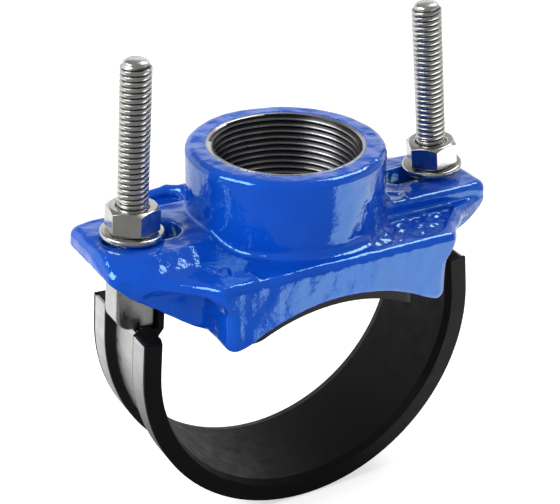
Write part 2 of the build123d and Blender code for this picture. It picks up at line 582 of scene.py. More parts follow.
class EffectLibrary:
    """Builds the shared effects as node groups and places them in materials."""

    GREY = (0.5, 0.5, 0.5, 1.0)
    EVEN = (1.0, 1.0, 1.0)
    SOCKETS = {1: "NodeSocketFloat", 3: "NodeSocketVector", 4: "NodeSocketColor"}

    def __init__(self) -> None:
        """Starts with no effects built."""
        self._built: dict[Effect, Tree] = {}

    def place(self, tree: Tree, effect: Effect, **values: object) -> bpy.types.NodeOutputs:
        """Puts an effect into a material.

        Args:
            tree: the material's node tree.
            effect: which effect.
            values: the group's inputs by name, with underscores for spaces.

        Returns:
            The group node's outputs.
        """
        if effect not in self._built:
            self._built[effect] = getattr(self, "_" + effect.value)()
        inputs = {key.replace("_", " "): value for key, value in values.items()}
        return add_node(tree, "Group", inputs, node_tree=self._built[effect]).outputs

    def _open(self, name: str, **defaults: object) -> tuple[Tree, bpy.types.NodeOutputs]:
        """A new group and the sockets of its inputs, whose types follow their defaults."""
        tree = bpy.data.node_groups.new(name, "ShaderNodeTree")
        for key, default in defaults.items():
            kind = self.SOCKETS[np.size(default)]
            label = key.replace("_", " ")
            socket = tree.interface.new_socket(name=label, in_out="INPUT", socket_type=kind)
            socket.default_value = default
        return tree, tree.nodes.new("NodeGroupInput").outputs

    def _close(self, tree: Tree, **results: Socket) -> Tree:
        """Gives a group its outputs."""
        for label, result in results.items():
            kind = self.SOCKETS[4 if result.type == "RGBA" else 1]
            tree.interface.new_socket(name=label, in_out="OUTPUT", socket_type=kind)
        feed(tree.nodes.new("NodeGroupOutput"), results)
        return tree

    def _mottle(self) -> Tree:
        """Soft patches of a second colour."""
        tree, given = self._open("mottle", Base=self.GREY, Patch=self.GREY, Scale=60.0, Amount=0.5)
        patches = ramp(noise(place_in(tree), given["Scale"], 4.0), 0.35, 0.7)
        share = times(patches, given["Amount"])
        return self._close(tree, Color=mix(share, given["Base"], given["Patch"], "RGBA"))

    def _stretched(self, tree: Tree, stretch: Socket) -> Socket:
        """The place of the shaded point, scaled along each axis."""
        inputs = {0: place_in(tree), 1: stretch}
        return add_node(tree, "VectorMath", inputs, operation="MULTIPLY").outputs["Vector"]

    def _orange_peel(self) -> Tree:
        """The height of a sprayed or moulded skin: fine dimples over slow waves."""
        tree, given = self._open(
            "orange_peel", Dimple_Scale=400.0, Wave_Scale=60.0, Wave_Share=0.5, Stretch=self.EVEN
        )
        dimples = noise(place_in(tree), given["Dimple Scale"], 2.0)
        waves = noise(self._stretched(tree, given["Stretch"]), given["Wave Scale"], 1.5)
        return self._close(tree, Height=mix(given["Wave Share"], dimples, waves))

    def _brushing(self) -> Tree:
        """Fine scratches drawn out along one way, as a roughness and a height."""
        tree, given = self._open("brushing", Stretch=self.EVEN, Scale=300.0, Low=0.15, High=0.35)
        grain = noise(self._stretched(tree, given["Stretch"]), given["Scale"], 5.0, 0.65)
        span = {"From Min": 0.3, "From Max": 0.7, "To Min": given["Low"], "To Max": given["High"]}
        rough = add_node(tree, "MapRange", {"Value": grain, **span}).outputs["Result"]
        return self._close(tree, Roughness=rough, Height=grain)

    def _dust(self) -> Tree:
        """A film of pale dust that lies on surfaces that face up."""
        tree, given = self._open("dust", Color=self.GREY, Dust=self.GREY, Amount=0.2, Scale=90.0)
        normal = add_node(tree, "NewGeometry", {}).outputs["Normal"]
        span = {"Value": axes_of(normal)["Z"], "From Min": -0.3, "From Max": 1.0}
        facing = add_node(tree, "MapRange", span).outputs["Result"]
        film = times(noise(place_in(tree), given["Scale"], 6.0), facing)
        share = times(film, given["Amount"])
        return self._close(tree, Color=mix(share, given["Color"], given["Dust"], "RGBA"))

    def _grooves(self) -> Tree:
        """Painted shade that darkens a thread's grooves, and a strap's groove walls, where the
        groove attribute is high.
        """
        tree, given = self._open(
            "grooves", Color=self.GREY, Dirt=self.GREY, Start=0.3, End=0.8, Amount=0.9
        )
        depth = add_node(tree, "Attribute", {}, attribute_name="groove").outputs["Fac"]
        span = {"Value": depth, "From Min": given["Start"], "From Max": given["End"]}
        deep = add_node(tree, "MapRange", span, interpolation_type="SMOOTHSTEP")
        share = times(deep.outputs["Result"], given["Amount"])
        return self._close(tree, Color=mix(share, given["Color"], given["Dirt"], "RGBA"))


def shader_of(name: str) -> tuple[Material, Node]:
    """A new node material and its Principled shader."""
    material = bpy.data.materials.new(name)
    material.use_nodes = True
    return material, material.node_tree.nodes["Principled BSDF"]


def add_bump(shader: Node, height: Socket, strength: float, distance: float) -> None:
    """Bends a shader's normal by a height whose full range is a distance in millimetres."""
    inputs = {"Strength": strength, "Distance": distance * MM, "Height": height}
    bump = add_node(shader.id_data, "Bump", inputs)
    feed(shader, {"Normal": bump.outputs["Normal"]})


@dataclass(frozen=True)
class Enamel:
    """The glossy fusion-bonded coating on the casting."""

    name: str
    base: Color
    patch: Color
    roughness: float = 0.07
    coat: float = 0.15
    coat_roughness: float = 0.03
    specular: float = 0.9
    specular_tint: Color = (0.38, 0.85, 1.0, 1.0)
    peel: float = 0.5
    peel_depth: float = 1.6

    def build(self, effects: EffectLibrary) -> Material:
        """Makes the material."""
        material, shader = shader_of(self.name)
        tree = material.node_tree
        color = effects.place(
            tree, Effect.MOTTLE, Base=self.base, Patch=self.patch, Scale=45.0, Amount=0.8
        )["Color"]
        inputs = {
            "Base Color": color,
            "Roughness": self.roughness,
            "Coat Weight": self.coat,
            "Coat Roughness": self.coat_roughness,
            "Specular IOR Level": self.specular,
            "Specular Tint": self.specular_tint,
        }
        feed(shader, inputs)
        skin = {"Dimple_Scale": 480.0, "Wave_Scale": 120.0, "Wave_Share": 0.85}
        peel = effects.place(tree, Effect.ORANGE_PEEL, Stretch=(1.0, 1.0, 0.5), **skin)
        add_bump(shader, peel["Height"], self.peel, self.peel_depth)
        return material


@dataclass(frozen=True)
class Steel:
    """Bare metal with a drawn or turned grain, and painted shade where it has grooves."""

    name: str
    tint: Color
    shade: Color
    low: float
    high: float
    stretch: Triple
    scale: float
    bump: float
    # the colour that grooves are darkened towards as painted shade, or None for no grooves
    dirt: Optional[Color] = None
    grain_depth: float = 0.08

    def build(self, effects: EffectLibrary) -> Material:
        """Makes the material."""
        material, shader = shader_of(self.name)
        tree = material.node_tree
        color = effects.place(
            tree, Effect.MOTTLE, Base=self.tint, Patch=self.shade, Scale=110.0, Amount=0.6
        )["Color"]
        brush = {"Stretch": self.stretch, "Scale": self.scale, "Low": self.low, "High": self.high}
        grain = effects.place(tree, Effect.BRUSHING, **brush)
        # Painted shade: the grooves are darkened towards a near-black colour.
        if self.dirt is not None:
            dirt = {"Dirt": self.dirt, "Start": 0.25, "End": 0.75, "Amount": 0.95}
            color = effects.place(tree, Effect.GROOVES, Color=color, **dirt)["Color"]
        feed(shader, {"Base Color": color, "Roughness": grain["Roughness"], "Metallic": 1.0})
        add_bump(shader, grain["Height"], self.bump, self.grain_depth)
        return material


@dataclass(frozen=True)
class Rubber:
    """Moulded rubber with a dull skin and a little dust."""

    name: str
    tint: Color
    dust: Color
    dustiness: float
    roughness: float
    smoother: float = 0.08
    rougher: float = 0.12
    specular: float = 0.1
    peel: float = 0.25
    peel_depth: float = 0.25

    def build(self, effects: EffectLibrary) -> Material:
        """Makes the material."""
        material, shader = shader_of(self.name)
        tree = material.node_tree
        even = EffectLibrary.EVEN
        film = {"Color": self.tint, "Dust": self.dust, "Amount": self.dustiness, "Scale": 130.0}
        low, high = self.roughness - self.smoother, self.roughness + self.rougher
        grain = {"Stretch": even, "Scale": 160.0, "Low": low, "High": high}
        inputs = {
            "Base Color": effects.place(tree, Effect.DUST, **film)["Color"],
            "Roughness": effects.place(tree, Effect.BRUSHING, **grain)["Roughness"],
            "Specular IOR Level": self.specular,
        }
        feed(shader, inputs)
        skin = {"Dimple_Scale": 1400.0, "Wave_Scale": 120.0, "Wave_Share": 0.5, "Stretch": even}
        height = effects.place(tree, Effect.ORANGE_PEEL, **skin)["Height"]
        add_bump(shader, height, self.peel, self.peel_depth)
        return material


class Finish(Enum):
    """What each material of the saddle is made of."""

    ENAMEL = Enamel("blue_enamel", (0.0008, 0.052, 0.43, 1.0), (0.0014, 0.068, 0.49, 1.0))
    # The last colour of the thread and strap steels is the painted shade in their grooves.
    CUT_IRON = Steel(
        "cut_thread", (0.46, 0.46, 0.46, 1.0), (0.34, 0.34, 0.345, 1.0), 0.22, 0.4,
        (0.2, 0.2, 1.0), 500.0, 0.12, (0.006, 0.006, 0.008, 1.0),
    )
    STUD_STEEL = Steel(
        "rolled_thread", (0.58, 0.575, 0.55, 1.0), (0.46, 0.455, 0.44, 1.0), 0.2, 0.36,
        (0.2, 0.2, 1.0), 420.0, 0.1, (0.06, 0.06, 0.06, 1.0),
    )
    BRIGHT_STEEL = Steel(
        "bright_steel", (0.56, 0.555, 0.53, 1.0), (0.44, 0.435, 0.42, 1.0), 0.12, 0.28,
        (1.0, 1.0, 0.3), 260.0, 0.06,
    )
    SHEET_STEEL = Steel(
        "strap_steel", (0.52, 0.52, 0.51, 1.0), (0.40, 0.40, 0.40, 1.0), 0.2, 0.42,
        (1.0, 0.12, 1.0), 340.0, 0.08, (0.012, 0.012, 0.013, 1.0),
    )
    BLOCK_STEEL = Steel(
        "block_steel", (0.56, 0.555, 0.54, 1.0), (0.40, 0.40, 0.39, 1.0), 0.22, 0.42,
        (1.0, 1.0, 0.25), 300.0, 0.12,
    )
    LINER = Rubber(
        "liner_rubber", (0.0035, 0.0035, 0.004, 1.0), (0.03, 0.03, 0.032, 1.0), 0.1, 0.46
    )
    MAT = Rubber("gasket_rubber", (0.02, 0.018, 0.017, 1.0), (0.10, 0.09, 0.08, 1.0), 0.5, 0.5)


# ---------------------------------------------------------------- where things are


@dataclass(frozen=True)
class Stance:
    """How the strap and its two studs stand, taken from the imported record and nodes."""

    tilt: dict[Side, float]
    anchor: dict[Side, Vector]

    @classmethod
    def from_record(cls) -> "Stance":
        """Reads the studs' axes from the record's nut joints."""
        tilt, anchor = {}, {}
        for joint in frame["record"]["behaviour"]["joints"]:
            for side in Side:
                if joint["name"] == side.word + "_nut_turn":
                    axis = Vector(joint["axis"])
                    tilt[side] = math.atan2(-side.value * axis.x, axis.z)
                    anchor[side] = Vector(joint["pos_m"]) / MM
        return cls(tilt, anchor)

    @property
    def swing(self) -> float:
        """The strap's swing about the pipe axis, in radians."""
        return (self.tilt[Side.RIGHT] - self.tilt[Side.LEFT]) / 2.0

    @property
    def lean(self) -> float:
        """Each stud's lean towards the branch in the strap's own frame, in radians."""
        return (self.tilt[Side.RIGHT] + self.tilt[Side.LEFT]) / 2.0

    def on_stud(self, side: Side, node: str) -> Matrix:
        """A pose on a stud's axis beside a CAD node, with Z up the stud and X outwards.

        Args:
            side: which stud.
            node: the name of the node whose box's middle gives the height.

        Returns:
            The pose, in millimetres.
        """
        low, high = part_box(node)
        tilt, anchor = self.tilt[side], self.anchor[side]
        up = Vector((-side.value * math.sin(tilt), 0.0, math.cos(tilt)))
        out = Vector((side.value * math.cos(tilt), 0.0, math.sin(tilt)))
        pose = Matrix((out, up.cross(out), up)).transposed().to_4x4()
        pose.translation = anchor + up * ((low + high) / 2.0 / MM - anchor).dot(up)
        return pose


def lifted(pose: Matrix, height: float) -> Matrix:
    """A pose moved up its own Z by a height in millimetres."""
    return pose @ Matrix.Translation((0.0, 0.0, height))


def dress(node: str, finish: Material) -> Object:
    """Gives a CAD node its material, and gives the node back."""
    piece = frame["nodes"][node]
    piece.data.materials.clear()
    piece.data.materials.append(finish)
    return piece


# ---------------------------------------------------------------- the casting


@dataclass
class SaddleCasting:
    """The blue casting, the cut thread in its boss and the mat under its arch.

    Lengths are in millimetres. A swept corner is one where the top slopes down from the
    lug's pad; a level one has a plain top with a pocket sunk in it.
    """

    finishes: dict[Finish, Material]
    body_half_length: float = 46.8
    body_half_width: float = 48.8
    body_top: float = 46.4
    body_corner: float = 4.5
    body_foot: float = 17.6
    body_foot_round: float = 4.0
    shoulder_reach: float = 74.5
    shoulder_thickness: float = 5.0
    shoulder_fillet: float = 9.0
    lug_half_width: float = 21.5
    lug_thickness: float = 8.6
    lug_corner: float = 5.0
    lug_fillet: float = 6.0
    side_wall: float = 5.5
    pad_top: float = 51.6
    web_foot: float = 17.0
    nose: Pair = (79.3, 38.6)
    nose_end: float = 43.6
    sweep_span: Pair = (52.0, 66.0)
    sweep_start: float = 17.5
    sweep_run: float = 16.0
    sweep_blend: float = 9.0
    sweep_slope: float = 0.93
    swept_edge: Pair = (3.2, 0.8)
    swept_edge_span: Pair = (72.0, 82.0)
    level_edge: float = 3.0
    pad_edge: Pair = (2.2, 1.7)
    pad_edge_span: Pair = (74.0, 82.0)
    slot: Triple = (54.3, 70.8, 7.5)
    arch_radius: float = 79.7
    arch_crown: float = 30.6
    boss_radius: float = 39.7
    boss_round: float = 3.0
    boss_fillet: Pair = (1.3, 3.6)
    boss_fillet_side: float = 0.9
    paint_bore: float = 31.1
    thread_length: float = 32.0
    low_bore: float = 27.5
    pocket_floor: float = 44.2
    pocket_span: Pair = (22.9, 42.4)
    pocket_start: float = 17.0
    pocket_inset: float = 4.6
    pocket_round: float = 3.0
    thread_root: float = 29.8
    thread_crest: float = 28.6
    thread_pitch: float = 2.65
    thread_columns: int = 160
    thread_lift: float = 0.3
    mouth_sink: float = 0.02
    mouth_slope: float = 3.0
    mouth_wall: float = 0.25
    runout_slope: float = 2.0
    runout_span: Pair = (0.6, 4.6)
    # share of the painted groove shade that the bore thread's crests keep
    crest_shade: float = 0.42
    lump_radius: float = 0.95
    no_mark: float = 50.0
    lumps: tuple[tuple[float, float, float, float, float], ...] = (
        (-47.5, -31.0, 46.6, 1.6, 0.5),
        (-44.0, -34.5, 46.5, 2.0, -0.4),
        (-40.0, -38.0, 46.4, 1.5, 1.1),
        (-36.5, -41.0, 46.3, 1.8, 0.2),
        (43.0, -13.5, 51.5, 1.5, 0.9),
        (46.0, -17.0, 51.5, 1.8, -0.3),
    )
    curl_radius: float = 2.7
    curl: tuple[Triple, ...] = (
        (-40.0, 41.5, 45.2),
        (-33.0, 40.5, 46.6),
        (-28.0, 36.5, 47.2),
        (-27.5, 31.0, 46.0),
    )
    skin: Ripple = Ripple(0.10, 7.0, 26.0, 18, 3)
    rough: Ripple = Ripple(0.32, 3.5, 9.0, 16, 11)

    def __post_init__(self) -> None:
        """Takes the casting's place and reach from its CAD node."""
        low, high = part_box("saddle_casting")
        self.offset = (low.x + high.x) / 2.0 / MM
        self.lug_end = (high.x - low.x) / 2.0 / MM
        self.boss_top = high.z / MM
        self.foot = low.z / MM

    def _sweep_height(self, x: Array, y: Array) -> Array:
        """The height of the top where it sweeps down from the pad to the body."""
        past = np.hypot(outside_span(x, *self.sweep_span), y) - self.sweep_start
        fall = np.clip(past / self.sweep_run, 0.0, 1.0) * smooth_step(y, 0.0, self.sweep_blend)
        return self.body_top + (self.pad_top - self.body_top) * (1.0 - fall) ** 2

    def _tops(self, p: Array, stock: Array, wing: Array, slant: Array) -> Array:
        """Cuts the stock's swept and level tops.

        Args:
            p: the points.
            stock: the distance to the body, plates and lugs, still without tops.
            wing: the distance to the lugs alone.
            slant: the distance past the plates' slanted ends.

        Returns:
            The distance to the stock under its tops.
        """
        x, y, z = p[..., 0], p[..., 1], p[..., 2]
        ax, ay = np.abs(x), np.abs(y)
        least, more = self.swept_edge
        edge = least + more * smooth_step(ax, *self.swept_edge_span)
        sweep_top = (z - self._sweep_height(ax, ay)) * self.sweep_slope
        swept = round_meet(stock, sweep_top, edge)

        level = round_meet(stock, z - self.body_top, self.level_edge)
        near, far = self.pocket_span
        pocket = round_meet(near - ay, ay - far, self.pocket_round)
        pocket = round_meet(pocket, slant + self.pocket_inset, self.pocket_round)
        pocket = round_meet(pocket, self.pocket_start - ax, self.pocket_round)
        floor = self.pocket_floor + self.rough.at(p) - z
        level = round_meet(level, -round_meet(pocket, floor, 1.2), 0.9)
        least, more = self.pad_edge
        edge = least + more * smooth_step(ax, *self.pad_edge_span)
        level = round_union(level, round_meet(wing, z - self.pad_top, edge), 1.0)
        return np.where(x * y > 0.0, swept, level)

    def _field(self, p: Array) -> Array:
        """The distance to the casting at points in its own axes.

        Args:
            p: the points, of shape (..., 3), in millimetres.

        Returns:
            The distances, negative inside.
        """
        x, y, z = p[..., 0], p[..., 1], p[..., 2]
        ax, ay = np.abs(x), np.abs(y)
        radial = np.hypot(x, y)
        half_width, half_length = self.body_half_width, self.body_half_length
        core = box_plan(x, y, half_width, half_length, self.body_corner)
        corner = (half_width, half_length)
        slant = past_line(ax, ay, (self.shoulder_reach, self.lug_half_width), corner)
        plate = round_meet(slant, ay - half_length, 4.0)
        plate = round_meet(plate, ax - self.shoulder_reach, 1.0)
        plate = round_meet(plate, self.body_top - self.shoulder_thickness - z, 1.2)
        web = past_line(ax, z, (half_width, self.web_foot), self.nose)
        tip = past_line(ax, z, self.nose, (self.lug_end, self.nose_end))
        lug = box_plan(x, y, self.lug_end, self.lug_half_width, self.lug_corner)
        wing = round_meet(lug, round_meet(web, tip, 2.0), 1.4)
        stock = round_union(round_union(core, wing, self.lug_fillet), plate, self.shoulder_fillet)
        solid = self._tops(p, np.maximum(stock, ay - half_length), wing, slant)
        solid = round_meet(solid, self.body_foot - z, self.body_foot_round)

        boss = round_meet(radial - self.boss_radius, z - self.boss_top, self.boss_round)
        least, more = self.boss_fillet
        side = 0.5 + 0.5 * np.cos(np.arctan2(y, x) + self.boss_fillet_side)
        solid = round_union(solid, self._marks(p), 1.1)
        solid = round_union(solid, boss, least + more * side**2) + self.skin.at(p)

        roof = self.pad_top - self.lug_thickness
        hollow = round_meet(ay - (self.lug_half_width - self.side_wall), z - roof, 2.0)
        hollow = round_meet(hollow, half_width - ax, 2.0)
        solid = round_meet(solid, -hollow, 1.2)
        inner, outer, half = self.slot
        slot = np.hypot(outside_span(ax, inner, outer), y) - half
        slot = np.maximum(slot, self.pad_top - 2.0 * self.lug_thickness - z)
        solid = round_meet(solid, -slot, 1.0)
        arch = np.hypot(x, z - (self.arch_crown - self.arch_radius)) - self.arch_radius
        solid = round_meet(solid, -arch, 1.5)
        ledge = self.boss_top - self.thread_length - z
        bore = np.minimum(radial - self.low_bore, np.maximum(radial - self.paint_bore, ledge))
        return round_meet(solid, -bore, 0.5)

    def _marks(self, p: Array) -> Array:
        """The distance to small plain foundry lumps and a curled bead on the top."""
        x, y, z = p[..., 0], p[..., 1], p[..., 2]
        marks = np.full(x.shape, self.no_mark)
        for mx, my, mz, length, turn in self.lumps:
            across = (x - mx) * math.cos(turn) + (y - my) * math.sin(turn)
            along = -(x - mx) * math.sin(turn) + (y - my) * math.cos(turn)
            reach = np.maximum(np.abs(along) - length, 0.0)
            lump = np.sqrt(across**2 + reach**2 + (z - mz) ** 2) - self.lump_radius
            marks = np.minimum(marks, lump)
        for start, end in zip(self.curl[:-1], self.curl[1:]):
            way = np.subtract(end, start)
            share = np.clip((p - start) @ way / (way @ way), 0.0, 1.0)
            bead = np.linalg.norm(p - start - share[..., None] * way, axis=-1)
            marks = round_union(marks, bead - self.curl_radius, 0.6)
        return marks

    def _shift(self, points: Array) -> Array:
        """Carries points from the casting's own axes to the row frame."""
        return points + np.array([self.offset, 0.0, 0.0])

    def build_casting(self) -> Object:
        """Sculpts the casting and lets it stand for its CAD node."""
        low = (-self.lug_end, -self.body_half_length, self.foot)
        high = (self.lug_end, self.body_half_length, self.boss_top)
        sculptor = Sculptor(self._field, low, high, 1.0)
        piece = sculptor.carve("saddle_body", self.finishes[Finish.ENAMEL], self._shift)
        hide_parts("saddle_casting")
        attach(piece, Body.SADDLE.value)
        return piece

    def build_thread(self) -> Object:
        """Cuts the pipe thread and its bright mouth as a ring set in the boss."""
        low = self.boss_top - self.thread_length + self.thread_lift
        high = self.boss_top - self.mouth_sink
        root, crest, mouth = self.thread_root, self.thread_crest, self.paint_bore
        soft = root + 0.06
        profile = [(0.03, crest), (0.10, crest), (0.40, root), (0.50, soft), (0.60, root)]
        profile.append((0.92, crest))

        def limit(height: Array, radius: Array) -> Array:
            """Opens the thread at its mouth and its runout."""
            cone = mouth - (high - height) * self.mouth_slope
            start, end = self.runout_span
            runout = mouth - np.clip(height - low - start, 0.0, end - start) * self.runout_slope
            return np.maximum(np.maximum(radius, np.minimum(cone, mouth)), runout)

        columns = self.thread_columns
        verts, radius, faces = helical_skin(profile, self.thread_pitch, low, high, columns, limit)
        # Painted shade: the thread darkens most at its roots, and its crests keep crest_shade of
        # it, as it sits deep in the bore.
        deep = (radius - crest) / (root - crest)
        deep = self.crest_shade + (1.0 - self.crest_shade) * deep
        deep = np.where(radius > root + 0.2, 0.0, deep)
        outer = mouth + self.mouth_wall
        back = [(mouth, high), (outer, high - 0.05), (outer, low), (mouth, low)]
        faces += sleeve(len(back), columns, len(verts))
        verts = np.concatenate([verts] + [circle(r, h, columns) for r, h in back])
        deep = np.concatenate([deep, np.zeros(len(back) * columns)])
        finish = self.finishes[Finish.CUT_IRON]
        piece = new_piece("outlet_thread", self._shift(verts), faces, finish, 0.004, deep)
        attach(piece, Body.SADDLE.value)
        return piece

    def build(self) -> None:
        """Builds every piece that moves with the casting."""
        report(self.build_casting(), self.build_thread())
        report(dress("saddle_gasket", self.finishes[Finish.MAT]))


# ---------------------------------------------------------------- the fasteners


@dataclass
class Fasteners:
    """The two studs with their washers and nuts, with lengths in millimetres."""

    finishes: dict[Finish, Material]
    stance: Stance
    stud_radius: float = 6.0
    thread_pitch: float = 2.1
    thread_depth: float = 0.85
    tip_length: float = 1.9
    dome_depth: float = 1.5
    dome_length: float = 1.3
    washer_radius: float = 12.5
    washer_bore: float = 6.5
    washer_thickness: float = 2.2
    nut_half_flats: float = 9.5
    nut_height: float = 10.0
    nut_face_share: float = 0.955
    nut_chamfer: float = 1.3
    face_gap: float = 0.05
    nut_turns: Pair = (7.0, -21.0)
    stud_columns: int = 56
    ring_columns: int = 96

    def build_stud(self, side: Side) -> Object:
        """Rolls a stud's thread, with a plain rounded tip."""
        crest = self.stud_radius
        root = crest - self.thread_depth
        length, columns = STUD_LENGTH, self.stud_columns
        soft, near = crest - 0.05, root + 0.1
        profile = [(0.0, soft), (0.05, crest), (0.5, crest), (0.55, soft)]
        profile += [(0.72, near), (0.775, root), (0.83, near)]

        def limit(height: Array, radius: Array) -> Array:
            """Turns the tip down to a dome and the foot to the root."""
            left = length - height
            fall = np.clip(1.0 - left / self.dome_length, 0.0, 1.0) ** 2
            dome = root - 0.15 - self.dome_depth * fall
            shoulder = np.maximum(left - self.tip_length, 0.0) * 1.2
            return np.minimum(np.minimum(radius, dome + shoulder), root - 0.2 + height)

        verts, radius, faces = helical_skin(profile, self.thread_pitch, 0.0, length, columns, limit)
        shank = verts[:, 2] < length - self.tip_length
        # Painted shade: the stud's thread roots darken more than its crests.
        deep = np.where(shank, (crest - radius) / self.thread_depth, 0.0)
        for height, order in ((0.0, -1), (length, 1)):
            rim = float(limit(np.array(height), np.array(crest)))
            faces.append(list(range(len(verts), len(verts) + columns))[::order])
            verts = np.concatenate([verts, circle(rim, height, columns)])
        deep = np.concatenate([deep, np.zeros(2 * columns)])
        pose = lifted(self.stance.on_stud(side, side.word + "_stud"), -length / 2.0)
        name, finish = side.word + "_threaded_stud", self.finishes[Finish.STUD_STEEL]
        piece = new_piece(name, placed(verts, pose), faces, finish, 0.004, deep)
        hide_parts(side.word + "_stud")
        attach(piece, Body.STRAP.value)
        return piece

    def _seat(self, side: Side) -> Matrix:
        """The pose of a washer's underside on its stud."""
        middle = self.stance.on_stud(side, side.word + "_washer")
        return lifted(middle, -self.washer_thickness / 2.0)

    def build_washer(self, side: Side) -> Object:
        """Stamps a washer, with softly rounded edges."""
        bore, rim, top = self.washer_bore, self.washer_radius, self.washer_thickness
        corners = [(bore, 0.0, 0.25), (rim, 0.0, 0.55), (rim, top, 0.8), (bore, top, 0.3)]
        profile = np.tile(rounded_loop(corners, 4), (self.ring_columns, 1, 1))
        verts, faces = turned(profile[..., 0], profile[..., 1])
        name, finish = side.word + "_plain_washer", self.finishes[Finish.BRIGHT_STEEL]
        piece = new_piece(name, placed(verts, self._seat(side)), faces, finish)
        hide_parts(side.word + "_washer")
        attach(piece, side.word + "_washer_body")
        return piece

    def build_nut(self, side: Side) -> Object:
        """Forges a hexagon nut with its corners chamfered and its bore countersunk."""
        flat, height, columns = self.nut_half_flats, self.nut_height, self.ring_columns
        angle = np.arange(columns) * TURN / columns
        hexagon = flat / np.cos((angle + TURN / 12.0) % (TURN / 6.0) - TURN / 12.0)
        face = flat * self.nut_face_share
        drop = np.maximum(hexagon - face, 0.0) * math.tan(math.radians(30.0))
        bore = self.stud_radius - 0.1
        sink = bore + 1.0
        rows = [(bore, self.nut_chamfer), (sink, 0.0), (face, 0.0), (hexagon, drop)]
        rows += [(hexagon, height - drop), (face, height), (sink, height)]
        rows.append((bore, height - self.nut_chamfer))
        radius, level = (
            np.stack([np.broadcast_to(row[part], columns) for row in rows], axis=1)
            for part in (0, 1)
        )
        verts, faces = turned(radius, level)
        turn = math.radians(self.nut_turns[0] if side is Side.LEFT else self.nut_turns[1])
        spin = self._seat(side) @ Matrix.Rotation(turn * side.value, 4, "Z")
        pose = lifted(spin, self.washer_thickness + self.face_gap)
        name, finish = side.word + "_hex_nut", self.finishes[Finish.BRIGHT_STEEL]
        piece = new_piece(name, placed(verts, pose), faces, finish)
        add_bevel(piece, 0.22, 20.0)
        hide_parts(side.word + "_nut")
        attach(piece, side.word + "_nut_body")
        return piece

    def build(self) -> None:
        """Builds both sides' fasteners."""
        for side in Side:
            report(self.build_stud(side), self.build_washer(side), self.build_nut(side))


# ---------------------------------------------------------------- the strap


